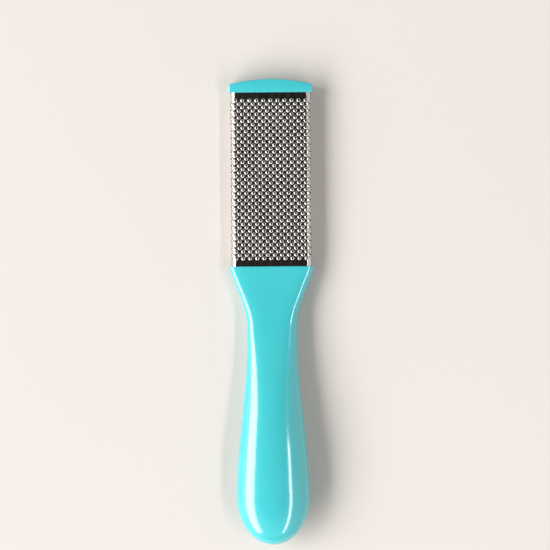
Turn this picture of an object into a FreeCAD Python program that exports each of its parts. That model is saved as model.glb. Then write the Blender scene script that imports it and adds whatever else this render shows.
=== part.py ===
"""Foot file: two bent steel rasp plates on a core, with a hollow two-shell handle.

Frame: X across the file, Y along it with the tip at +Y, Z up out of the front face.
The origin is the middle of the length and width, on the plane that the back lies on.
All sizes are in millimetres.
"""
import FreeCAD, Part
import math
import os

from FreeCAD import Vector

# Lengths along the file
HANDLE_LENGTH = 149.3
PLATE_EXPOSED_LENGTH = 93.4
CAP_LENGTH = 7.3

# Handle widths and where they lie, measured down from the shoulder
NECK_WIDTH = 27.2
BULB_WIDTH = 39.2
NECK_START = 32.0
NECK_LENGTH = 8.0
BULB_LENGTH = 2.3
TAIL_ROUND_LENGTH = 25.0
SHOULDER_SLOPE = 0.32

# Handle depths, front to back
BULB_DEPTH = 22.0
BULB_PARTING_HEIGHT = 10.0
BACK_LAND_DEPTH = 0.4
GATE_LAND_WIDTH = 2.4

# How many sections each stretch of the handle is drawn through
SHOULDER_STEPS = 4
GRIP_STEPS = 4
TAIL_STEPS = 7

# How boxy a handle section is: 0.55 is an ellipse, 1 is nearly a rectangle
SHOULDER_FULLNESS = 0.95
GRIP_FULLNESS = 0.58
FULLNESS_LENGTH = 80.0

# Handle inside
WALL = 2.2
BULKHEAD = 2.0
RIB_THICKNESS = 2.0
POST_DIAMETER = 5.0
PEG_DIAMETER = 3.0
PEG_LENGTH = 3.5
GRIP_POSTS = 3

# Rasp plates
PLATE_WIDTH = 43.2
PLATE_STACK = 9.2
SHEET = 0.5
BEND_RADIUS = 3.0
SPLIT_GAP = 0.3
TUCK = 2.5

# Rasp teeth, punched through the sheet
TOOTH_PITCH = 3.78
TOOTH_ROW_STEP = 1.845
TOOTH_END_MARGIN = 4.0
TOOTH_SIDE_MARGIN = 2.6
TOOTH_HEIGHT = 0.75
TOOTH_ROOT = 0.42
TOOTH_BASE_DIAMETER = 3.0
TOOTH_EDGE_DIAMETER = 1.1
TOOTH_MOUTH_DIAMETER = 2.4
TOOTH_SIDES = 4

# How far the shoulder and the end cap stand out past the plates
SHOULDER_OVERLAP = 1.9
CAP_OVERLAP = 0.8
FACE_OVERLAP = 0.9
SHOULDER_EDGE_RADIUS = 0.5

# End cap
CAP_SIDE_LENGTH = 4.5
CAP_CORNER_RADIUS = 1.4
CAP_EDGE_RADIUS = 0.6

# Core: a spigot for the cap, a ladder inside the plates and a tang for the handle
SPIGOT_WIDTH = 24.0
SPIGOT_THICKNESS = 5.0
SPIGOT_LENGTH = 2.4
TANG_WIDTH = 13.0
TANG_THICKNESS = 5.0
TANG_LENGTH = 44.0
CORE_RAIL = 3.0
CORE_RUNG = 2.4
CORE_WEB = 1.6
CORE_BAYS = 6
BAY_CORNER_RADIUS = 1.2

# Fits
PLATE_CLEARANCE = 0.1
POCKET_CLEARANCE = 0.15

# Places that follow from the sizes above
OVERALL_LENGTH = HANDLE_LENGTH + PLATE_EXPOSED_LENGTH + CAP_LENGTH
TAIL_Y = -OVERALL_LENGTH / 2
SHOULDER_Y = TAIL_Y + HANDLE_LENGTH
CAP_Y = SHOULDER_Y + PLATE_EXPOSED_LENGTH
SHOULDER_WIDTH = PLATE_WIDTH + 2 * SHOULDER_OVERLAP
CAP_WIDTH = PLATE_WIDTH + 2 * CAP_OVERLAP
NECK_END = NECK_START + NECK_LENGTH
BULB_START = HANDLE_LENGTH - TAIL_ROUND_LENGTH - BULB_LENGTH
HEAD_THICKNESS = PLATE_STACK + 2 * FACE_OVERLAP
MID_Z = HEAD_THICKNESS / 2
PLATE_TOP_Z = MID_Z + PLATE_STACK / 2
TOOTH_ROWS = 2 * int((PLATE_EXPOSED_LENGTH / 2 - TOOTH_END_MARGIN) / TOOTH_ROW_STEP) + 1
TOOTH_COLUMNS = 2 * int((PLATE_WIDTH / 2 - TOOTH_SIDE_MARGIN) / TOOTH_PITCH) + 1
CAVITY_START = TUCK + POCKET_CLEARANCE + BULKHEAD
FRONT = 1
BACK = -1
BEYOND = 2 * OVERALL_LENGTH
NEARLY_PARALLEL = 0.5


def ease(share):
    """Smooth step from 0 to 1, level at both ends."""
    u = min(max(share, 0.0), 1.0)
    return u * u * (3 - 2 * u)


def block(width, length, height, y, z):
    """Box centred on X and on z, from y towards the tip."""
    return Part.makeBox(width, length, height, Vector(-width / 2, y, z - height / 2))


def edges_along(shape, direction):
    """Straight edges of a shape that run along a direction."""
    return [edge for edge in shape.Edges if edge.tangentAt(0).cross(direction).Length < NEARLY_PARALLEL]


def rounded_prism(width, height, radius, y, length):
    """Bar along Y with a rounded rectangle as its section, centred on the head."""
    bar = block(width, length, height, y, MID_Z)
    return bar.makeFillet(radius, edges_along(bar, Vector(0, 1, 0)))


def post(diameter, along, bottom, top):
    """Round post along Z on the handle's centre line, a distance below the shoulder."""
    return Part.makeCylinder(diameter / 2, top - bottom, Vector(0, SHOULDER_Y - along, bottom))


# Handle

def shoulder_half_width(share):
    """Half width from the shoulder, which already slopes inwards, to the level neck."""
    u = min(max(share, 0.0), 1.0)
    blend = (SHOULDER_WIDTH + (NECK_WIDTH - SHOULDER_WIDTH) * ease(u)) / 2
    return blend - SHOULDER_SLOPE * NECK_START * u * (1 - u) ** 2


def grip_share(along):
    return (along - NECK_END) / (BULB_START - NECK_END)


def grip_half_width(along):
    """Half of the handle's width, before the tail rounds off."""
    if along < NECK_END:
        return shoulder_half_width(along / NECK_START)
    return (NECK_WIDTH + (BULB_WIDTH - NECK_WIDTH) * ease(grip_share(along))) / 2


def grip_depth(along):
    """Depth of the handle from its flat back to its crown, before the tail rounds off."""
    return HEAD_THICKNESS + (BULB_DEPTH - HEAD_THICKNESS) * ease(along / BULB_START)


def parting_height(along):
    """Height of the gently rising plane where the two handle shells meet."""
    return MID_Z + (BULB_PARTING_HEIGHT - MID_Z) * along / BULB_START


def fullness(along):
    return SHOULDER_FULLNESS + (GRIP_FULLNESS - SHOULDER_FULLNESS) * ease(along / FULLNESS_LENGTH)


def bezier(poles):
    curve = Part.BezierCurve()
    curve.setPoles(poles)
    return curve.toShape()


def oval_section(y, z, half_width, front, back, full):
    """Closed section across the handle: four quarter curves about the parting line."""
    edges = []
    for side, face, rise in ((1, FRONT, front), (-1, FRONT, front), (-1, BACK, back), (1, BACK, back)):
        poles = [
            Vector(side * half_width, y, z),
            Vector(side * half_width, y, z + face * rise * full),
            Vector(side * half_width * full, y, z + face * rise),
            Vector(0, y, z + face * rise),
        ]
        edges.append(bezier(poles if side == face else poles[::-1]))
    return Part.Wire(edges)


def handle_stations(first, inset):
    """Distances below the shoulder where sections are placed, each with its tail scale."""
    spans = (
        (first, NECK_START, SHOULDER_STEPS),
        (NECK_START, NECK_END, 1),
        (NECK_END, BULB_START, GRIP_STEPS),
    )
    stations = []
    for start, end, count in spans:
        stations += [(start + (end - start) * step / count, 1.0) for step in range(count)]
    tail_start = HANDLE_LENGTH - TAIL_ROUND_LENGTH
    reach = TAIL_ROUND_LENGTH - inset
    last_turn = math.acos(GATE_LAND_WIDTH / BULB_WIDTH)
    for step in range(TAIL_STEPS + 1):
        turn = last_turn * step / TAIL_STEPS
        stations.append((tail_start + reach * math.sin(turn) / math.sin(last_turn), math.cos(turn)))
    return stations


def handle_loft(first, inset):
    """Solid through the handle's sections, each drawn in by inset all round."""
    sections = []
    for along, scale in handle_stations(first, inset):
        grip_along = min(along, BULB_START)
        crease = parting_height(grip_along)
        half_width = (grip_half_width(grip_along) - inset) * scale
        front = (grip_depth(grip_along) - crease - inset) * scale
        back = (crease + BACK_LAND_DEPTH - inset) * scale
        y = SHOULDER_Y - along
        sections.append(oval_section(y, parting_height(along), half_width, front, back, fullness(along)))
    return Part.makeLoft(sections, True, False)


def front_space():
    """Everything on the front side of the handle's parting plane."""
    near = Vector(-BEYOND, SHOULDER_Y + BEYOND, parting_height(-BEYOND))
    far = Vector(-BEYOND, SHOULDER_Y - BEYOND, parting_height(BEYOND))
    lift = Vector(0, 0, BEYOND)
    side = Part.Face(Part.makePolygon([near, far, far + lift, near + lift, near]))
    return side.extrude(Vector(2 * BEYOND, 0, 0))


def tang_stations():
    """Distances below the shoulder of the posts and ribs that hold the tang."""
    step = (TANG_LENGTH - CAVITY_START) / 4
    posts = [CAVITY_START + step, CAVITY_START + 3 * step]
    ribs = [CAVITY_START + 2 * step, CAVITY_START + 4 * step]
    return posts, ribs


def post_stations():
    """Distances below the shoulder of every post that joins the two shells."""
    step = (BULB_START - TANG_LENGTH) / GRIP_POSTS
    return tang_stations()[0] + [TANG_LENGTH + step * (number + 1) for number in range(GRIP_POSTS)]


def tang_block(clearance):
    """The core's tang, or with a clearance the slot that it lies in."""
    start = SHOULDER_Y - TANG_LENGTH - clearance
    width = TANG_WIDTH + 2 * clearance
    height = TANG_THICKNESS + 2 * clearance
    return block(width, TANG_LENGTH - TUCK + clearance, height, start, MID_Z)


def plate_pocket(y, length):
    """Pocket that the ends of both plates tuck into."""
    width = PLATE_WIDTH + 2 * POCKET_CLEARANCE
    height = PLATE_STACK + 2 * POCKET_CLEARANCE
    return rounded_prism(width, height, BEND_RADIUS + POCKET_CLEARANCE, y, length)


def handle_hollow():
    """Room inside the handle: chambers between ribs and posts, the tang's slot and the mouth."""
    chambers = handle_loft(CAVITY_START, WALL)
    ribs = []
    for along in tang_stations()[1]:
        ribs.append(block(SHOULDER_WIDTH, RIB_THICKNESS, BEYOND, SHOULDER_Y - along, MID_Z))
    posts = [post(POST_DIAMETER, along, -BEYOND, BEYOND) for along in post_stations()]
    chambers = chambers.cut(ribs + posts)
    slot = tang_block(POCKET_CLEARANCE).cut(posts)
    depth = TUCK + POCKET_CLEARANCE
    return chambers.fuse([slot, plate_pocket(SHOULDER_Y - depth, depth + BEYOND)])


def handle_shells():
    """Front and back shells, which meet on the parting plane and peg together."""
    body = handle_loft(0.0, 0.0)
    body = body.cut(block(BEYOND, BEYOND, BEYOND, -BEYOND / 2, -BEYOND / 2))
    brow = [edge for edge in body.Edges if edge.BoundBox.YMin > SHOULDER_Y - SHOULDER_EDGE_RADIUS]
    body = body.makeFillet(SHOULDER_EDGE_RADIUS, brow)
    hollow = handle_hollow()
    space = front_space()
    front = body.common(space).cut(hollow)
    back = body.cut(space).cut(hollow)
    pegs = []
    holes = []
    for along in post_stations():
        seam = parting_height(along)
        pegs.append(post(PEG_DIAMETER, along, seam - PEG_LENGTH, seam + PEG_LENGTH))
        hole_diameter = PEG_DIAMETER + 2 * POCKET_CLEARANCE
        holes.append(post(hole_diameter, along, seam - PEG_LENGTH - POCKET_CLEARANCE, seam + PEG_LENGTH))
    return front.fuse(pegs), back.cut(holes)


# Head

def plate_sheet():
    """Channel bent from sheet: the front face, two rounded long edges and short flanges."""
    foot = MID_Z + SPLIT_GAP / 2
    start = SHOULDER_Y - TUCK
    length = PLATE_EXPOSED_LENGTH + 2 * TUCK
    outside = rounded_prism(PLATE_WIDTH, PLATE_STACK, BEND_RADIUS, start, length)
    inside_width = PLATE_WIDTH - 2 * SHEET
    inside_height = PLATE_STACK - 2 * SHEET
    inside = rounded_prism(inside_width, inside_height, BEND_RADIUS - SHEET, start, length)
    front_half = block(2 * PLATE_WIDTH, length, PLATE_STACK, start, foot + PLATE_STACK / 2)
    return outside.cut(inside).common(front_half)


def tooth_places():
    """Placement of each tooth: staggered rows, with the outer columns round the bent edges."""
    flat = PLATE_WIDTH / 2 - BEND_RADIUS
    middle = SHOULDER_Y + PLATE_EXPOSED_LENGTH / 2
    on_flat = []
    on_bends = []
    for row in range(TOOTH_ROWS):
        columns = TOOTH_COLUMNS + row % 2
        y = middle + (row - (TOOTH_ROWS - 1) / 2) * TOOTH_ROW_STEP
        for column in range(columns):
            across = (column - (columns - 1) / 2) * TOOTH_PITCH
            turn = math.copysign(max(abs(across) - flat, 0.0) / BEND_RADIUS, across)
            x = max(-flat, min(flat, across)) + BEND_RADIUS * math.sin(turn)
            z = PLATE_TOP_Z - BEND_RADIUS * (1 - math.cos(turn))
            rotation = FreeCAD.Rotation(Vector(0, 1, 0), math.degrees(turn))
            group = on_flat if abs(across) + TOOTH_BASE_DIAMETER / 2 < flat else on_bends
            group.append(FreeCAD.Placement(Vector(x, y, z), rotation))
    return on_flat, on_bends


def ring(diameter, height):
    """Corners of one level of a tooth, in the tooth's own frame."""
    corners = []
    for number in range(TOOTH_SIDES):
        turn = 2 * math.pi * number / TOOTH_SIDES
        corners.append(Vector(diameter / 2 * math.cos(turn), diameter / 2 * math.sin(turn), height))
    return corners


def polygon(corners):
    return Part.makePolygon(corners + corners[:1])


def walls(lower, upper):
    """Flat faces between two levels of a tooth."""
    faces = []
    for number in range(TOOTH_SIDES):
        after = (number + 1) % TOOTH_SIDES
        faces.append(Part.Face(polygon([lower[number], lower[after], upper[after], upper[number]])))
    return faces


def closed_solid(faces):
    shell = Part.makeShell(faces)
    shell.sewShape()
    return Part.makeSolid(shell)


def tower(levels):
    """Solid with flat walls through the levels of a tooth, lowest first."""
    faces = [Part.Face(polygon(levels[0])), Part.Face(polygon(levels[-1]))]
    for lower, upper in zip(levels, levels[1:]):
        faces += walls(lower, upper)
    return closed_solid(faces)


def placed(shape, places):
    return [shape.transformed(place.toMatrix()) for place in places]


def rasp_plate():
    """Front rasp plate: the bent sheet with its field of pierced, knife-edged teeth."""
    on_flat, on_bends = tooth_places()
    flare = (TOOTH_MOUTH_DIAMETER - TOOTH_EDGE_DIAMETER) / (TOOTH_HEIGHT + SHEET)
    root = ring(TOOTH_BASE_DIAMETER, -TOOTH_ROOT)
    base = ring(TOOTH_BASE_DIAMETER, 0)
    edge = ring(TOOTH_EDGE_DIAMETER, TOOTH_HEIGHT)
    mouth = ring(TOOTH_MOUTH_DIAMETER, -SHEET)
    below = ring(TOOTH_MOUTH_DIAMETER + flare * SHEET, -2 * SHEET)
    above = ring(TOOTH_EDGE_DIAMETER - flare * SHEET, TOOTH_HEIGHT + SHEET)
    crowns = placed(tower([root, base, edge]), on_bends)
    bores = placed(tower([below, above]), on_bends)
    faces = []
    for face in plate_sheet().fuse(crowns).cut(bores).Faces:
        if face.Area > PLATE_EXPOSED_LENGTH * TOOTH_PITCH and face.BoundBox.ZLength < SHEET / 2:
            outside = face.CenterOfMass.z > PLATE_TOP_Z - SHEET / 2
            outline = base[::-1] if outside else mouth
            face.cutHoles(placed(polygon(outline), on_flat))
        faces.append(face)
    tooth = Part.makeCompound(walls(base, edge) + walls(mouth, edge))
    for copy in placed(tooth, on_flat):
        faces += copy.Faces
    return closed_solid(faces)


def turned_over(shape):
    """Copy of a front piece on the back of the head."""
    return shape.rotated(Vector(0, 0, MID_Z), Vector(0, 1, 0), 180)


def core_frame():
    """Moulded core: cored-out ladder between the plates, cap spigot and handle tang."""
    gap = SHEET + PLATE_CLEARANCE
    width = PLATE_WIDTH - 2 * gap
    height = PLATE_STACK - 2 * gap
    start = SHOULDER_Y - TUCK
    length = PLATE_EXPOSED_LENGTH + 2 * TUCK
    core = rounded_prism(width, height, BEND_RADIUS - gap, start, length)
    bay_length = (length - CORE_RUNG) / CORE_BAYS - CORE_RUNG
    bays = []
    for number in range(CORE_BAYS):
        y = start + CORE_RUNG + number * (bay_length + CORE_RUNG)
        bay = block(width - 2 * CORE_RAIL, bay_length, height, y, MID_Z + (height + CORE_WEB) / 2)
        bay = bay.makeFillet(BAY_CORNER_RADIUS, edges_along(bay, Vector(0, 0, 1)))
        bays += [bay, turned_over(bay)]
    spigot = block(SPIGOT_WIDTH, SPIGOT_LENGTH, SPIGOT_THICKNESS, CAP_Y + TUCK, MID_Z)
    tang = tang_block(0.0)
    holes = []
    for along in tang_stations()[0]:
        holes.append(post(POST_DIAMETER + 2 * POCKET_CLEARANCE, along, 0, HEAD_THICKNESS))
    return core.cut(bays).fuse([spigot, tang.cut(holes)])


def end_cap():
    """Cap over the tip: straight lower edge, short sides and a bowed top."""
    half = CAP_WIDTH / 2
    side_y = CAP_Y + CAP_SIDE_LENGTH
    left = Vector(-half, side_y, 0)
    right = Vector(half, side_y, 0)
    corners = [left, Vector(-half, CAP_Y, 0), Vector(half, CAP_Y, 0), right]
    bow = Part.Arc(right, Vector(0, CAP_Y + CAP_LENGTH, 0), left).toShape()
    outline = Part.Wire(Part.makePolygon(corners).Edges + [bow])
    cap = Part.Face(outline).extrude(Vector(0, 0, HEAD_THICKNESS))
    uprights = []
    for edge in cap.Edges:
        if edge.BoundBox.ZLength > SHEET and edge.BoundBox.YMax > side_y - SHEET:
            uprights.append(edge)
    cap = cap.makeFillet(CAP_CORNER_RADIUS, uprights)
    rims = []
    for edge in cap.Edges:
        if edge.BoundBox.ZLength < SHEET and edge.BoundBox.YMax > CAP_Y + SHEET:
            rims.append(edge)
    cap = cap.makeFillet(CAP_EDGE_RADIUS, rims)
    depth = TUCK + POCKET_CLEARANCE
    socket = block(
        SPIGOT_WIDTH + 2 * POCKET_CLEARANCE,
        depth + SPIGOT_LENGTH,
        SPIGOT_THICKNESS + 2 * POCKET_CLEARANCE,
        CAP_Y,
        MID_Z,
    )
    return cap.cut([plate_pocket(CAP_Y - depth, 2 * depth), socket])


def main():
    front_shell, back_shell = handle_shells()
    pieces = {
        "handle_front_shell": front_shell,
        "handle_back_shell": back_shell,
        "core_frame": core_frame(),
        "front_rasp_plate": rasp_plate(),
        "back_rasp_plate": turned_over(plate_sheet()),
        "end_cap": end_cap(),
    }
    os.makedirs("parts", exist_ok=True)
    for name, shape in pieces.items():
        shape.exportStep("parts/" + name + ".step")
        print(name, shape.isValid(), len(shape.Solids), round(shape.Volume, 1), shape.BoundBox)


main()
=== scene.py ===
import math
import random

import bmesh
import bpy
from mathutils import Matrix, Vector


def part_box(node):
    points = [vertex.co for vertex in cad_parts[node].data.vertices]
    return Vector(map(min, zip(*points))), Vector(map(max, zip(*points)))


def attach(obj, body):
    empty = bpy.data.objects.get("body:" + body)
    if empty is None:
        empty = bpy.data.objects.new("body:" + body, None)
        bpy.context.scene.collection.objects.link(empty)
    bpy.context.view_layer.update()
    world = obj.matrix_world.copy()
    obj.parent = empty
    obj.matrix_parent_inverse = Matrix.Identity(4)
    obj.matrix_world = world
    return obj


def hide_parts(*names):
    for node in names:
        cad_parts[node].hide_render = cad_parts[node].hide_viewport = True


# Foot file: hollow handle in two halves, end cap and two pierced steel plates round the CAD core

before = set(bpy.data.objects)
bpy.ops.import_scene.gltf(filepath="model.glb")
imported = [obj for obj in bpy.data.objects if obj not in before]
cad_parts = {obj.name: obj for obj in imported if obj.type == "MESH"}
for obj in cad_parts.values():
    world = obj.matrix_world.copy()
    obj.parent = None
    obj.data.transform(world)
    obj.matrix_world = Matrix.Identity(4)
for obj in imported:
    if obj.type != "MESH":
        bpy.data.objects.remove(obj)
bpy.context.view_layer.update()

# Lengths of the pieces are in millimetres until a piece is finished, which scales it to metres
MM = 0.001


def node_box(name):
    low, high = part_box(name)
    return low / MM, high / MM


SHELL_LOW, SHELL_HIGH = node_box("handle_front_shell")
CAP_LOW, CAP_HIGH = node_box("end_cap")
PLATE_LOW, PLATE_HIGH = node_box("front_rasp_plate")
FRONT = 1
BACK = -1

# Fineness of rounded edges, and of rounded corners in plan or section
EDGE_STEPS = 4
CORNER_STEPS = 8

# Handle form, measured down from the shoulder
SHOULDER_Y = SHELL_HIGH.y
HANDLE_LENGTH = SHELL_HIGH.y - SHELL_LOW.y
SHOULDER_WIDTH = 46.68
NECK_WIDTH = 27.2
BULB_WIDTH = 39.2
NECK_START = 32.0
NECK_END = 40.0
BULB_START = 122.0
TAIL_ROUND = 25.0
TAIL_START = HANDLE_LENGTH - TAIL_ROUND
SHOULDER_SLOPE = 0.32
HEAD_THICKNESS = 11.0
MID_Z = HEAD_THICKNESS / 2
BULB_DEPTH = 21.97
BULB_PARTING = 10.0
SHOULDER_FULLNESS = 0.95
GRIP_FULLNESS = 0.58
FULLNESS_LENGTH = 80.0
SHOULDER_EDGE = 0.5

# The tail's last ring is a little short of a point
TAIL_TURN = math.radians(88.6)

# The back's curve goes this far below the floor, which cuts it off to a flat
BACK_LAND = 0.4

# Groove along the seam, and the share of a quarter of the section that it takes up
SEAM_DEPTH = 0.14
SEAM_HALF_GAP = 0.01
SEAM_SHARE = 0.008

# Fineness of the handle's sections and of its length
QUARTER_STEPS = 20
QUARTER_SHARES = [step / QUARTER_STEPS for step in range(1, QUARTER_STEPS + 1)]
GRIP_RINGS = 120
TAIL_RINGS = 30
CHAMBER_RINGS = 60

# Inside of the handle
WALL = 2.2
CAVITY_START = 4.65
TANG_LENGTH = 44.0
TANG_WIDTH = 13.0
TANG_THICKNESS = 5.0
TANG_STEP = (TANG_LENGTH - CAVITY_START) / 4
RIB_THICKNESS = 2.0
RIBS = (CAVITY_START + 2 * TANG_STEP, TANG_LENGTH)
POST_STEP = (BULB_START - TANG_LENGTH) / 3
POSTS = (
    CAVITY_START + TANG_STEP,
    CAVITY_START + 3 * TANG_STEP,
    TANG_LENGTH + POST_STEP,
    TANG_LENGTH + 2 * POST_STEP,
    BULB_START,
)
POST_DIAMETER = 5.0
POST_SIDES = 32
PEG_DIAMETER = 3.0
PEG_LENGTH = 3.5

# A tool that is this large reaches through the whole handle
BEYOND = 60.0

# Points that a cut leaves nearer than this become one
MERGE_DISTANCE = 0.001

# End cap
CAP_HALF_WIDTH = 22.4
CAP_SIDE = 4.5
CAP_CORNER = 1.4
CAP_EDGE = 0.8
CAP_INNER_EDGE_SHARE = 0.45
CAP_ARC_STEPS = 40
SPIGOT_WIDTH = 24.0
SPIGOT_THICKNESS = 5.0
SPIGOT_LENGTH = 2.4

# Bent sheet of the plates, whose long bends are painted brighter: the painted valley shade is kept off
# them
PLATE_WIDTH = 43.2
PLATE_STACK = 9.2
SHEET = 0.5
BEND_RADIUS = 3.0
FLANGE_FOOT = 0.15
# Relief given to the bends, which reaches this far into each bend, so that they are painted brighter
BEND_UNSHADED_RELIEF = 0.65
BEND_UNSHADED_REACH = 1.2
POCKET_DEPTH = 2.65
POCKET_CLEARANCE = 0.15
FLAT_HALF = PLATE_WIDTH / 2 - BEND_RADIUS
BEND_ARC = BEND_RADIUS * math.pi / 2
UNROLLED_HALF = FLAT_HALF + BEND_ARC + PLATE_STACK / 2 - BEND_RADIUS - FLANGE_FOOT
PLATE_MID_Y = (PLATE_LOW.y + PLATE_HIGH.y) / 2
PLATE_HALF_LENGTH = (PLATE_HIGH.y - PLATE_LOW.y) / 2

# Points on the edges of neighbouring tiles are matched to this part of a lattice step
LATTICE_PARTS = 60

# A tooth's height is drawn between these shares of its profile's
TOOTH_HEIGHTS = (0.95, 1.02)

# Tooth profiles as radius and height, from the sheet up to the torn rim and down the hole.
# rim is the number of the profile's point whose ring is ragged, and lean is how far rims are off centre
COARSE = {
    "seed": 11,
    "pitch": 3.78,
    "row_step": 1.845,
    "rows": 47,
    "columns": 11,
    "edge_points": 4,
    "plain_rings": (0.5,),
    "profile": [
        (1.27, 0.0), (1.18, 0.12), (1.07, 0.34), (0.89, 0.55), (0.66, 0.69), (0.48, 0.74),
        (0.41, 0.70), (0.42, 0.10), (1.02, -SHEET),
    ],
    "rim": 5,
    "ragged": 0.012,
    "lean": 0.010,
}
FINE = {
    "seed": 12,
    "pitch": 2.52,
    "row_step": 1.23,
    "rows": 69,
    "columns": 15,
    "edge_points": 3,
    "plain_rings": (),
    "profile": [
        (0.80, 0.0), (0.72, 0.12), (0.58, 0.26), (0.36, 0.34), (0.27, 0.30), (0.55, -SHEET),
    ],
    "rim": 3,
    "ragged": 0.010,
    "lean": 0.010,
}

# Colours, as linear red, green and blue, and the angles in degrees from which edges look sharp
WHITE = (1.0, 1.0, 1.0)
TURQUOISE_DEEP = (0.051, 0.490, 0.542)
TURQUOISE_LIGHT = (0.059, 0.520, 0.572)
TURQUOISE_SPECK = (0.94, 0.94, 0.94)
WORN_DEEP = (0.12, 0.64, 0.69)
WORN_LIGHT = (0.19, 0.70, 0.74)
STEEL_DULL = (0.60, 0.585, 0.565)
STEEL_BRIGHT = (0.72, 0.70, 0.68)
STEEL_STAIN = (0.86, 0.85, 0.84)
# Painted shade of the rasp steel, for the valleys and holes and for the feet of the teeth
VALLEY_SHADE = (0.33, 0.32, 0.31)
TOOTH_FOOT_SHADE = (0.40, 0.39, 0.38)
CORE_DEEP = (0.010, 0.010, 0.010)
CORE_LIGHT = (0.022, 0.021, 0.020)
FLOOR_DEEP = (0.630, 0.596, 0.570)
FLOOR_LIGHT = (0.640, 0.606, 0.580)
PLASTIC_CREASE = 35
STEEL_CREASE = 50

# Most values of a noise lie between these
NOISE_LOW = 0.3
NOISE_HIGH = 0.7

# Brightness of the surroundings by height, from left to right and at both ends
SKY_LEVELS = ((0.0, 0.95), (0.45, 0.85), (0.72, 0.40), (0.90, 0.03))
SKY_TINT = (1.0, 0.985, 0.965)
SKY_LEFT = 1.70
SKY_RIGHT = 1.08
SKY_END_SHARE = 0.15
LIGHT_COLOUR = (1.0, 0.985, 0.96)

# Floor, in metres
FLOOR_HALF_SIZE = 4.0
FLOOR_CELLS = 8

# Camera, in metres but for its sensor: it looks straight down and sees a field of this width
SENSOR_WIDTH = 36.0
CAMERA_FIELD = 0.2961
CAMERA_DISTANCE = 0.9
CAMERA_AIM = Vector((0.0018, 0.0196, 0.008))
CAMERA_ROLL = math.radians(-0.42)


def ease(share):
    u = min(max(share, 0.0), 1.0)
    return u * u * (3 - 2 * u)


# Meshes

def ring_faces(bm, first, second):
    """Quads between two closed rows of vertices."""
    for number in range(len(first)):
        after = (number + 1) % len(first)
        bm.faces.new((first[number], first[after], second[after], second[number]))


def add_loft(bm, sections):
    """Adds a closed body drawn through sections, which have equal numbers of points."""
    rows = [[bm.verts.new(point) for point in section] for section in sections]
    for first, second in zip(rows, rows[1:]):
        ring_faces(bm, first, second)
    bm.faces.new(rows[0])
    bm.faces.new(rows[-1])


def rounded_edge(radius):
    """Depth and inset of each step round an edge, from its flat to its side."""
    steps = []
    for step in range(EDGE_STEPS + 1):
        turn = math.pi / 2 * step / EDGE_STEPS
        steps.append((radius * (1 - math.cos(turn)), radius * (1 - math.sin(turn))))
    return steps


def new_object(name, bm):
    bmesh.ops.recalc_face_normals(bm, faces=bm.faces)
    mesh = bpy.data.meshes.new(name)
    bm.to_mesh(mesh)
    bm.free()
    obj = bpy.data.objects.new(name, mesh)
    bpy.context.scene.collection.objects.link(obj)
    return obj


def combine(obj, tool, operation):
    """Cuts a tool out of an object's mesh or joins it on, and removes the tool."""
    modifier = obj.modifiers.new("combine", "BOOLEAN")
    modifier.operation = operation
    modifier.solver = "EXACT"
    modifier.object = tool
    graph = bpy.context.evaluated_depsgraph_get()
    bm = bmesh.new()
    bm.from_object(obj, graph)
    obj.modifiers.clear()
    bmesh.ops.remove_doubles(bm, verts=bm.verts, dist=MERGE_DISTANCE)
    bmesh.ops.dissolve_degenerate(bm, edges=bm.edges, dist=MERGE_DISTANCE)
    bm.to_mesh(obj.data)
    bm.free()
    bpy.data.objects.remove(tool)


def bar(width, height, start, end):
    """Tool: a square bar along the head's middle line."""
    bm = bmesh.new()
    place = Matrix.Translation((0.0, (start + end) / 2, MID_Z))
    size = Matrix.Diagonal((width, end - start, height, 1.0))
    bmesh.ops.create_cube(bm, size=1.0, matrix=place @ size)
    return new_object("bar_tool", bm)


def rods(diameter, low, high):
    """Tool: round bars on the handle's posts, between two heights above the seam."""
    bm = bmesh.new()
    for along in POSTS:
        sections = []
        for level in (low, high):
            section = []
            for step in range(POST_SIDES):
                turn = 2 * math.pi * step / POST_SIDES
                x = diameter / 2 * math.cos(turn)
                y = SHOULDER_Y - along + diameter / 2 * math.sin(turn)
                section.append((x, y, parting_height(along) + level))
            sections.append(section)
        add_loft(bm, sections)
    return new_object("rod_tool", bm)


def plate_pocket(start, end):
    """Tool: a rounded bar in the place of both plates, a little larger all round."""
    half_width = PLATE_WIDTH / 2 + POCKET_CLEARANCE
    half_height = PLATE_STACK / 2 + POCKET_CLEARANCE
    radius = BEND_RADIUS + POCKET_CLEARANCE
    outline = []
    for corner in range(4):
        side = 1 if corner in (0, 3) else -1
        top = 1 if corner in (0, 1) else -1
        for step in range(CORNER_STEPS + 1):
            turn = math.pi / 2 * (corner + step / CORNER_STEPS)
            x = side * (half_width - radius) + radius * math.cos(turn)
            z = MID_Z + top * (half_height - radius) + radius * math.sin(turn)
            outline.append((x, z))
    bm = bmesh.new()
    add_loft(bm, [[(x, y, z) for x, z in outline] for y in (start, end)])
    return new_object("pocket_tool", bm)


def split_wide_faces(obj):
    """Divides the faces that cuts leave with many corners into triangles."""
    bm = bmesh.new()
    bm.from_mesh(obj.data)
    wide = [face for face in bm.faces if len(face.verts) > 4]
    bmesh.ops.triangulate(bm, faces=wide, ngon_method="EAR_CLIP")
    bm.to_mesh(obj.data)
    bm.free()


def finish_piece(obj, node, material, slot, crease):
    """Scales a piece to metres, shades it and puts it in the CAD node's place."""
    split_wide_faces(obj)
    obj.data.transform(Matrix.Scale(MM, 4))
    obj.data.shade_smooth()
    obj.data.set_sharp_from_angle(angle=math.radians(crease))
    obj.data.materials.clear()
    obj.data.materials.append(material)
    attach(obj, "root")
    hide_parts(node)


# Handle

def shoulder_half_width(share):
    u = min(max(share, 0.0), 1.0)
    blend = (SHOULDER_WIDTH + (NECK_WIDTH - SHOULDER_WIDTH) * ease(u)) / 2
    return blend - SHOULDER_SLOPE * NECK_START * u * (1 - u) ** 2


def grip_half_width(along):
    if along < NECK_END:
        return shoulder_half_width(along / NECK_START)
    share = (along - NECK_END) / (BULB_START - NECK_END)
    return (NECK_WIDTH + (BULB_WIDTH - NECK_WIDTH) * ease(share)) / 2


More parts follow.
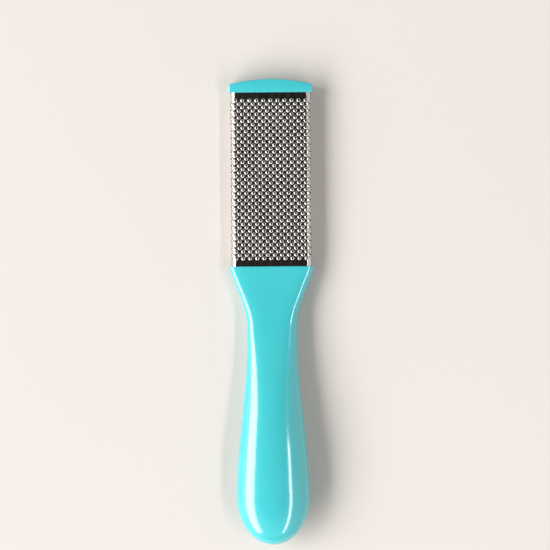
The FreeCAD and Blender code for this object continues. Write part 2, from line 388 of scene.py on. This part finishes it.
def grip_depth(along):
    return HEAD_THICKNESS + (BULB_DEPTH - HEAD_THICKNESS) * ease(along / BULB_START)


def parting_height(along):
    return MID_Z + (BULB_PARTING - MID_Z) * along / BULB_START


def fullness(along):
    return SHOULDER_FULLNESS + (GRIP_FULLNESS - SHOULDER_FULLNESS) * ease(along / FULLNESS_LENGTH)


def tail_rings(radius):
    """Distance below the shoulder and scale of each ring of the rounded tail."""
    rings = []
    for step in range(TAIL_RINGS + 1):
        turn = TAIL_TURN * step / TAIL_RINGS
        along = TAIL_START + radius * math.sin(turn) / math.sin(TAIL_TURN)
        rings.append((along, math.cos(turn)))
    return rings


def handle_rings():
    """Distance below the shoulder, inset and scale of each ring of the handle."""
    rings = [(depth, inset, 1.0) for depth, inset in rounded_edge(SHOULDER_EDGE)]
    for step in range(1, GRIP_RINGS):
        along = SHOULDER_EDGE + (TAIL_START - SHOULDER_EDGE) * step / GRIP_RINGS
        rings.append((along, 0.0, 1.0))
    return rings + [(along, 0.0, scale) for along, scale in tail_rings(TAIL_ROUND)]


def quarter_section(along, inset, scale, face, shares):
    """Points x and z of the handle's section, from the right of the seam to the middle of a face."""
    grip_along = min(along, BULB_START)
    crease = parting_height(grip_along)
    half_width = (grip_half_width(grip_along) - inset) * scale
    depth = grip_depth(grip_along) - crease if face == FRONT else crease + BACK_LAND
    rise = (depth - inset) * scale
    full = fullness(along)
    seam = parting_height(along)
    points = []
    for t in shares:
        # Weights of the four points of a cubic curve
        near = (1 - t) ** 3
        second = 3 * t * (1 - t) ** 2
        third = 3 * t * t * (1 - t)
        far = t ** 3
        x = half_width * (near + second + third * full)
        height = rise * (second * full + third + far)
        points.append((x, max(seam + face * height, 0.0)))
    return points


def mirrored(along, right):
    """Points from right to left of a section whose right half is given."""
    left = [(-x, z) for x, z in reversed(right[:-1])]
    return [Vector((x, SHOULDER_Y - along, z)) for x, z in right + left]


def half_section(along, inset, scale, face):
    """Front or back half of the handle's section, with half of the groove along the seam."""
    right = quarter_section(along, inset, scale, face, [0.0, SEAM_SHARE] + QUARTER_SHARES)
    x, z = right[0]
    right[0] = (x - SEAM_DEPTH * scale, z + face * SEAM_HALF_GAP)
    return mirrored(along, right)


def chamber_section(along, scale):
    """Section of the room inside the handle, all round."""
    front = mirrored(along, quarter_section(along, WALL, scale, FRONT, [0.0] + QUARTER_SHARES))
    back = mirrored(along, quarter_section(along, WALL, scale, BACK, QUARTER_SHARES))
    return front + back[::-1]


def chamber():
    """Tool: the room inside the handle, less its ribs and posts, with the tang's slot."""
    sections = []
    for step in range(CHAMBER_RINGS):
        along = CAVITY_START + (TAIL_START - CAVITY_START) * step / CHAMBER_RINGS
        sections.append(chamber_section(along, 1.0))
    sections += [chamber_section(along, scale) for along, scale in tail_rings(TAIL_ROUND - WALL)]
    bm = bmesh.new()
    add_loft(bm, sections)
    # Bent quads leave slivers when they are cut
    bmesh.ops.triangulate(bm, faces=bm.faces)
    room = new_object("chamber_tool", bm)
    for along in RIBS:
        rib_y = SHOULDER_Y - along
        combine(room, bar(BEYOND, BEYOND, rib_y, rib_y + RIB_THICKNESS), "DIFFERENCE")
    slot_width = TANG_WIDTH + 2 * POCKET_CLEARANCE
    slot_height = TANG_THICKNESS + 2 * POCKET_CLEARANCE
    slot_end = SHOULDER_Y - TANG_LENGTH - POCKET_CLEARANCE
    combine(room, bar(slot_width, slot_height, slot_end, SHOULDER_Y), "UNION")
    combine(room, rods(POST_DIAMETER, -BEYOND, BEYOND), "DIFFERENCE")
    return room


def handle_half(name, face):
    """Hollow front or back half, with pegs in front and their holes behind."""
    bm = bmesh.new()
    add_loft(bm, [half_section(along, inset, scale, face) for along, inset, scale in handle_rings()])
    obj = new_object(name, bm)
    combine(obj, plate_pocket(SHOULDER_Y - POCKET_DEPTH, SHOULDER_Y + POCKET_DEPTH), "DIFFERENCE")
    combine(obj, chamber(), "DIFFERENCE")
    if face == FRONT:
        combine(obj, rods(PEG_DIAMETER, -PEG_LENGTH, PEG_LENGTH), "UNION")
    else:
        hole = PEG_DIAMETER + 2 * POCKET_CLEARANCE
        combine(obj, rods(hole, -PEG_LENGTH - POCKET_CLEARANCE, PEG_LENGTH), "DIFFERENCE")
    return obj


# End cap

def cap_outline(inset):
    """Plan of the end cap drawn in by inset: right side, bowed top, left side."""
    bow_rise = CAP_HIGH.y - CAP_LOW.y - CAP_SIDE
    bow_radius = (CAP_HALF_WIDTH ** 2 + bow_rise ** 2) / (2 * bow_rise)
    centre_y = CAP_HIGH.y - bow_radius
    corner_x = CAP_HALF_WIDTH - CAP_CORNER
    corner_reach = math.sqrt((bow_radius - CAP_CORNER) ** 2 - corner_x ** 2)
    corner_y = centre_y + corner_reach
    meet = math.atan2(corner_reach, corner_x)
    right = [(CAP_HALF_WIDTH - inset, CAP_LOW.y + inset * CAP_INNER_EDGE_SHARE)]
    for step in range(CORNER_STEPS + 1):
        turn = meet * step / CORNER_STEPS
        radius = CAP_CORNER - inset
        right.append((corner_x + radius * math.cos(turn), corner_y + radius * math.sin(turn)))
    left = [(-x, y) for x, y in reversed(right)]
    bow = []
    for step in range(1, CAP_ARC_STEPS):
        turn = meet + (math.pi - 2 * meet) * step / CAP_ARC_STEPS
        radius = bow_radius - inset
        bow.append((radius * math.cos(turn), centre_y + radius * math.sin(turn)))
    return right + bow + left


def end_cap(name):
    """Cap with rounded edges, a pocket for the plates and a socket for the core's spigot."""
    levels = [(inset, CAP_LOW.z + depth) for depth, inset in rounded_edge(CAP_EDGE)]
    levels += [(inset, CAP_HIGH.z + CAP_LOW.z - z) for inset, z in reversed(levels)]
    bm = bmesh.new()
    add_loft(bm, [[(x, y, z) for x, y in cap_outline(inset)] for inset, z in levels])
    obj = new_object(name, bm)
    combine(obj, plate_pocket(CAP_LOW.y - POCKET_DEPTH, CAP_LOW.y + POCKET_DEPTH), "DIFFERENCE")
    socket_width = SPIGOT_WIDTH + 2 * POCKET_CLEARANCE
    socket_height = SPIGOT_THICKNESS + 2 * POCKET_CLEARANCE
    socket_end = CAP_LOW.y + POCKET_DEPTH + SPIGOT_LENGTH
    combine(obj, bar(socket_width, socket_height, CAP_LOW.y, socket_end), "DIFFERENCE")
    return obj


# Rasp plates

def sheet_point(across, along, height, face):
    """Point on the bent sheet: across its unrolled outside, height out of that side."""
    side = math.copysign(1.0, across)
    reach = abs(across)
    if reach <= FLAT_HALF:
        x = reach
        z = height
    elif reach <= FLAT_HALF + BEND_ARC:
        turn = (reach - FLAT_HALF) / BEND_RADIUS
        x = FLAT_HALF + (BEND_RADIUS + height) * math.sin(turn)
        z = (BEND_RADIUS + height) * math.cos(turn) - BEND_RADIUS
    else:
        x = FLAT_HALF + BEND_RADIUS + height
        z = FLAT_HALF + BEND_ARC - BEND_RADIUS - reach
    return Vector((face * side * x, PLATE_MID_Y + along, MID_Z + face * (PLATE_STACK / 2 + z)))


def stretched(number, last_tooth, count, step, end):
    """Place of a lattice line: even steps over the teeth, then plain steps out to the edge."""
    reach = abs(number)
    if reach <= last_tooth:
        return number * step
    share = (reach - last_tooth) / (count - last_tooth)
    return math.copysign(last_tooth * step + share * (end - last_tooth * step), number)


def between(first, second, share):
    """Lattice point at a share of the way from one to another."""
    i = first[0] + (second[0] - first[0]) * share
    j = first[1] + (second[1] - first[1]) * share
    return i, j


class RaspSheet:
    """Bent sheet tiled with diamonds, most of which carry one torn, pierced tooth."""

    def __init__(self, kind, face):
        self.kind = kind
        self.face = face
        self.draw = random.Random(kind["seed"])
        self.half_pitch = kind["pitch"] / 2
        self.half_rows = (kind["rows"] - 1) // 2
        self.last_i = kind["columns"] + 1
        self.last_j = self.half_rows + 1
        spare_i = (UNROLLED_HALF - self.last_i * self.half_pitch) / self.half_pitch
        spare_j = (PLATE_HALF_LENGTH - self.last_j * kind["row_step"]) / kind["row_step"]
        self.count_i = self.last_i + max(1, round(spare_i))
        self.count_j = self.last_j + max(1, round(spare_j))
        # The sheet's corners have to be corners of tiles, not their middles
        if (self.count_i + self.count_j - self.half_rows) % 2 == 0:
            self.count_j += 1
        self.bm = bmesh.new()
        # Relief share of each vertex, which the steel's painted shade follows
        self.relief = self.bm.verts.layers.float.new("relief")
        self.shared = {}

    def across(self, i):
        return stretched(i, self.last_i, self.count_i, self.half_pitch, UNROLLED_HALF)

    def along(self, j):
        return stretched(j, self.last_j, self.count_j, self.kind["row_step"], PLATE_HALF_LENGTH)

    def vertex(self, u, v, height, relief):
        """Vertex whose relief, from valley to rim, sets the steel's painted shade, which is darkest in
        the valleys and holes.
        """
        vertex = self.bm.verts.new(sheet_point(u, v, height, self.face))
        # On the bends the relief is raised, so the painted valley shade stays off them and they are
        # painted brighter
        bend_unshaded = BEND_UNSHADED_RELIEF * ease((abs(u) - FLAT_HALF) / BEND_UNSHADED_REACH)
        vertex[self.relief] = relief if height < 0 or relief < 0 else max(relief, bend_unshaded)
        return vertex

    def lattice_vertex(self, point, height):
        return self.vertex(self.across(point[0]), self.along(point[1]), height, 0.0)

    def edge_vertex(self, point, height):
        """Vertex on a tile's edge, shared with the next tile."""
        key = (round(point[0] * LATTICE_PARTS), round(point[1] * LATTICE_PARTS), height)
        if key not in self.shared:
            self.shared[key] = self.lattice_vertex(point, height)
        return self.shared[key]

    def has_tooth(self, i, j):
        """Whether a tile is among the teeth, whose rows are staggered."""
        reach = self.kind["columns"] - (self.half_rows + j + 1) % 2
        return abs(j) <= self.half_rows and abs(i) <= reach

    def tile_edge(self, i, j):
        """Lattice points round a tile, which is cut off at the sheet's edge."""
        corners = []
        for di, dj in ((1, 0), (0, 1), (-1, 0), (0, -1)):
            if abs(i + di) <= self.count_i and abs(j + dj) <= self.count_j:
                corners.append((i + di, j + dj))
        points = []
        steps = self.kind["edge_points"]
        for start, end in zip(corners, corners[1:] + corners[:1]):
            points += [between(start, end, step / steps) for step in range(steps)]
        return points

    def tooth(self, i, j):
        """Tile that rises to a torn rim and goes down its hole to the inside of the sheet."""
        points = self.tile_edge(i, j)
        u = self.across(i)
        v = self.along(j)
        turns = [math.atan2(self.along(q) - v, self.across(p) - u) for p, q in points]
        tall = self.draw.uniform(*TOOTH_HEIGHTS)
        lean = Vector((self.draw.gauss(0, 1), self.draw.gauss(0, 1))) * self.kind["lean"]
        rim = self.kind["rim"]
        peak = self.kind["profile"][rim][1]
        row = [self.edge_vertex(point, 0.0) for point in points]
        # Relief rises to the rim and turns negative down the hole, so the hole takes the darkest
        # painted shade
        for number, (radius, height) in enumerate(self.kind["profile"]):
            rise = max(height, 0.0) / peak
            torn = self.kind["ragged"] if number == rim else 0.0
            ring = []
            for turn in turns:
                lift = height * (tall if height > 0 else 1.0) + self.draw.uniform(-torn, torn / 2)
                ring.append(self.vertex(
                    u + radius * math.cos(turn) + lean.x * rise,
                    v + radius * math.sin(turn) + lean.y * rise,
                    lift,
                    rise if number <= rim else -rise,
                ))
            ring_faces(self.bm, row, ring)
            row = ring
        ring_faces(self.bm, row, [self.edge_vertex(point, -SHEET) for point in points])

    def plain(self, i, j):
        """Tile without a tooth, on the outside and the inside of the sheet."""
        points = self.tile_edge(i, j)
        middle = (sum(p[0] for p in points) / len(points), sum(p[1] for p in points) / len(points))
        for height in (0.0, -SHEET):
            row = [self.edge_vertex(point, height) for point in points]
            for share in self.kind["plain_rings"]:
                ring = [self.lattice_vertex(between(middle, point, share), height) for point in points]
                ring_faces(self.bm, row, ring)
                row = ring
            centre = self.lattice_vertex(middle, height)
            for first, second in zip(row, row[1:] + row[:1]):
                self.bm.faces.new((first, second, centre))

    def close_edges(self):
        """Narrow strips round the sheet's edge, between its outside and its inside."""
        below = {}
        for (p, q, height), vertex in self.shared.items():
            if height == 0.0:
                below[vertex] = self.shared[(p, q, -SHEET)]
        rims = [edge for edge in self.bm.edges if edge.is_boundary and edge.verts[0] in below]
        for edge in rims:
            first, second = edge.verts
            self.bm.faces.new((first, second, below[second], below[first]))

    def build(self, name):
        for i in range(-self.count_i, self.count_i + 1):
            for j in range(-self.count_j, self.count_j + 1):
                if (i + j - self.half_rows) % 2 == 0:
                    if self.has_tooth(i, j):
                        self.tooth(i, j)
                    else:
                        self.plain(i, j)
        self.close_edges()
        return new_object(name, self.bm)


# Materials

class NodeGraph:
    """Short calls for the nodes that the finishes and the surroundings use."""

    def __init__(self, owner):
        owner.use_nodes = True
        self.nodes = owner.node_tree.nodes
        self.links = owner.node_tree.links

    def ramp(self, source, *stops):
        ramp = self.nodes.new("ShaderNodeValToRGB")
        elements = ramp.color_ramp.elements
        while len(elements) < len(stops):
            elements.new(0.5)
        for element, (place, colour) in zip(elements, stops):
            element.position = place
            element.color = (*colour, 1.0)
        self.links.new(source, ramp.inputs["Fac"])
        return ramp.outputs["Color"]

    def span(self, source, low, high, from_low=NOISE_LOW, from_high=NOISE_HIGH):
        span = self.nodes.new("ShaderNodeMapRange")
        span.inputs["From Min"].default_value = from_low
        span.inputs["From Max"].default_value = from_high
        span.inputs["To Min"].default_value = low
        span.inputs["To Max"].default_value = high
        self.links.new(source, span.inputs["Value"])
        return span.outputs["Result"]

    def product(self, first, second):
        product = self.nodes.new("ShaderNodeMath")
        product.operation = "MULTIPLY"
        self.links.new(first, product.inputs[0])
        self.links.new(second, product.inputs[1])
        return product.outputs["Value"]


class Finish(NodeGraph):
    """Node material of a surface, whose patterns lie in the object's own coordinates."""

    def __init__(self, name):
        self.material = bpy.data.materials.new(name)
        super().__init__(self.material)
        self.surface = self.nodes["Principled BSDF"]
        self.place = self.nodes.new("ShaderNodeTexCoord").outputs["Object"]

    def set(self, **values):
        for name, value in values.items():
            self.surface.inputs[name.replace("_", " ")].default_value = value

    def feed(self, source, name):
        self.links.new(source, self.surface.inputs[name])

    def noise(self, scale, detail, stretch=(1.0, 1.0, 1.0)):
        mapping = self.nodes.new("ShaderNodeMapping")
        mapping.inputs["Scale"].default_value = stretch
        self.links.new(self.place, mapping.inputs["Vector"])
        noise = self.nodes.new("ShaderNodeTexNoise")
        noise.inputs["Scale"].default_value = scale
        noise.inputs["Detail"].default_value = detail
        self.links.new(mapping.outputs["Vector"], noise.inputs["Vector"])
        return noise.outputs["Fac"]

    def mottle(self, source, dark, pale, low=NOISE_LOW, high=NOISE_HIGH):
        """Colours from dark to pale over a noise."""
        return self.ramp(source, (low, dark), (high, pale))

    def mix(self, kind, first, second, factor=None):
        """Both colours mixed by a factor, or wholly where none is given."""
        mix = self.nodes.new("ShaderNodeMix")
        mix.data_type = "RGBA"
        mix.blend_type = kind
        mix.inputs["Factor"].default_value = 1.0
        if factor is not None:
            self.links.new(factor, mix.inputs["Factor"])
        self.links.new(first, mix.inputs["A"])
        self.links.new(second, mix.inputs["B"])
        return mix.outputs["Result"]

    def bump(self, source, strength, distance):
        """Bump on top of those that the surface already has."""
        bump = self.nodes.new("ShaderNodeBump")
        bump.inputs["Strength"].default_value = strength
        bump.inputs["Distance"].default_value = distance
        self.links.new(source, bump.inputs["Height"])
        normal = self.surface.inputs["Normal"]
        if normal.is_linked:
            self.links.new(normal.links[0].from_socket, bump.inputs["Normal"])
        self.links.new(bump.outputs["Normal"], normal)


def turquoise_plastic():
    """Glossy plastic with faint clouds and specks, and paler along its edges."""
    finish = Finish("turquoise_plastic")
    finish.set(IOR=1.5, Coat_Weight=1.0, Coat_Roughness=0.09)
    clouds = finish.noise(scale=26, detail=4)
    specks = finish.noise(scale=1900, detail=2)
    scuffs = finish.noise(scale=90, detail=5)
    tone = finish.mottle(clouds, TURQUOISE_DEEP, TURQUOISE_LIGHT)
    speckle = finish.mottle(specks, TURQUOISE_SPECK, WHITE, low=0.35, high=0.65)
    body = finish.mix("MULTIPLY", tone, speckle)
    worn = finish.mottle(scuffs, WORN_DEEP, WORN_LIGHT)
    edge = finish.nodes.new("ShaderNodeNewGeometry").outputs["Pointiness"]
    wear = finish.span(edge, low=0.0, high=0.35, from_low=0.53, from_high=0.62)
    finish.feed(finish.mix("MIX", body, worn, wear), "Base Color")
    smears = finish.noise(scale=420, detail=4)
    finish.feed(finish.span(smears, low=0.13, high=0.22), "Roughness")
    finish.bump(finish.noise(scale=240, detail=2), strength=0.11, distance=0.3 * MM)
    finish.bump(finish.noise(scale=2600, detail=2), strength=0.08, distance=0.05 * MM)
    return finish.material


def rasp_steel():
    """Drawn steel with grain and stain, with painted shade in the valleys and holes and full colour on
    the teeth.
    """
    finish = Finish("rasp_steel")
    finish.set(Metallic=1.0)
    grain = finish.noise(scale=700, detail=4, stretch=(1.0, 0.035, 1.0))
    clouds = finish.noise(scale=60, detail=4)
    drawn = finish.mottle(grain, STEEL_DULL, STEEL_BRIGHT)
    stain = finish.mottle(clouds, STEEL_STAIN, WHITE)
    body = finish.mix("MULTIPLY", drawn, stain)
    relief = finish.nodes.new("ShaderNodeAttribute")
    relief.attribute_name = "relief"
    # Painted shade from the relief: dark valleys and holes, lighter tooth feet, full colour on rims and
    # bends
    depth = finish.ramp(relief.outputs["Fac"], (0.0, VALLEY_SHADE), (0.22, TOOTH_FOOT_SHADE), (0.65, WHITE))
    finish.feed(finish.mix("MULTIPLY", body, depth), "Base Color")
    streaks = finish.noise(scale=900, detail=3, stretch=(1.0, 0.05, 1.0))
    finish.feed(finish.span(streaks, low=0.17, high=0.30), "Roughness")
    finish.bump(grain, strength=0.12, distance=0.04 * MM)
    finish.bump(clouds, strength=0.05, distance=0.4 * MM)
    return finish.material


def core_plastic():
    """Dull dark plastic."""
    finish = Finish("core_plastic")
    finish.set(IOR=1.46)
    clouds = finish.noise(scale=180, detail=4)
    finish.feed(finish.mottle(clouds, CORE_DEEP, CORE_LIGHT), "Base Color")
    finish.feed(finish.span(finish.noise(scale=800, detail=3), low=0.5, high=0.7), "Roughness")
    finish.bump(finish.noise(scale=1500, detail=3), strength=0.15, distance=0.1 * MM)
    return finish.material


def pale_floor():
    """Matt floor without gloss, so that it stays even in low views."""
    finish = Finish("pale_floor")
    finish.set(Roughness=0.9, Specular_IOR_Level=0.0)
    clouds = finish.noise(scale=3, detail=2)
    finish.feed(finish.mottle(clouds, FLOOR_DEEP, FLOOR_LIGHT), "Base Color")
    return finish.material


# Pieces

plastic = (turquoise_plastic(), "turquoise_plastic", PLASTIC_CREASE)
steel = (rasp_steel(), "rasp_steel", STEEL_CREASE)
finish_piece(handle_half("handle_front", FRONT), "handle_front_shell", *plastic)
finish_piece(handle_half("handle_back", BACK), "handle_back_shell", *plastic)
finish_piece(end_cap("tip_cap"), "end_cap", *plastic)
finish_piece(RaspSheet(COARSE, FRONT).build("coarse_plate"), "front_rasp_plate", *steel)
finish_piece(RaspSheet(FINE, BACK).build("fine_plate"), "back_rasp_plate", *steel)
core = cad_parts["core_frame"]
core.data.materials.clear()
core.data.materials.append(core_plastic())


# Stage

def floor():
    bm = bmesh.new()
    bmesh.ops.create_grid(bm, x_segments=FLOOR_CELLS, y_segments=FLOOR_CELLS, size=FLOOR_HALF_SIZE)
    obj = new_object("floor", bm)
    obj.data.materials.append(pale_floor())


def area_light(name, place, length, height, watts):
    """Rectangle of light, long in Y, that shines square onto the line along the object."""
    data = bpy.data.lights.new(name, "AREA")
    data.shape = "RECTANGLE"
    data.size = length
    data.size_y = height
    data.energy = watts
    data.color = LIGHT_COLOUR
    obj = bpy.data.objects.new(name, data)
    obj.location = place
    target = Vector((0.0, place[1], 0.0))
    obj.rotation_euler = (target - Vector(place)).to_track_quat("-Z", "Y").to_euler()
    bpy.context.scene.collection.objects.link(obj)


def studio_world():
    """Dark overhead and pale round the horizon, so that polished flats stay dark."""
    world = bpy.data.worlds.new("studio")
    bpy.context.scene.world = world
    graph = NodeGraph(world)
    direction = graph.nodes.new("ShaderNodeSeparateXYZ")
    place = graph.nodes.new("ShaderNodeTexCoord")
    graph.links.new(place.outputs["Generated"], direction.inputs["Vector"])
    x, y, z = direction.outputs
    stops = [(height, [level * tint for tint in SKY_TINT]) for height, level in SKY_LEVELS]
    colour = graph.ramp(z, *stops)
    side = graph.span(x, low=SKY_LEFT, high=SKY_RIGHT, from_low=-1.0, from_high=1.0)
    end = graph.span(graph.product(y, y), low=1.0, high=SKY_END_SHARE, from_low=0.0, from_high=1.0)
    background = graph.nodes["Background"]
    graph.links.new(colour, background.inputs["Color"])
    graph.links.new(graph.product(side, end), background.inputs["Strength"])


def camera():
    data = bpy.data.cameras.new("camera")
    data.sensor_width = SENSOR_WIDTH
    data.lens = SENSOR_WIDTH * CAMERA_DISTANCE / CAMERA_FIELD
    obj = bpy.data.objects.new("camera", data)
    obj.location = CAMERA_AIM + Vector((0.0, 0.0, CAMERA_DISTANCE))
    obj.rotation_euler = (0.0, 0.0, CAMERA_ROLL)
    bpy.context.scene.collection.objects.link(obj)
    bpy.context.scene.camera = obj


floor()
studio_world()
area_light("window", place=(-3.932, -2.90, 2.856), length=8.80, height=2.60, watts=580.0)
area_light("strip", place=(2.18, -2.85, 3.112), length=6.30, height=0.38, watts=80.0)
camera()
bpy.context.scene.view_settings.view_transform = "Standard"
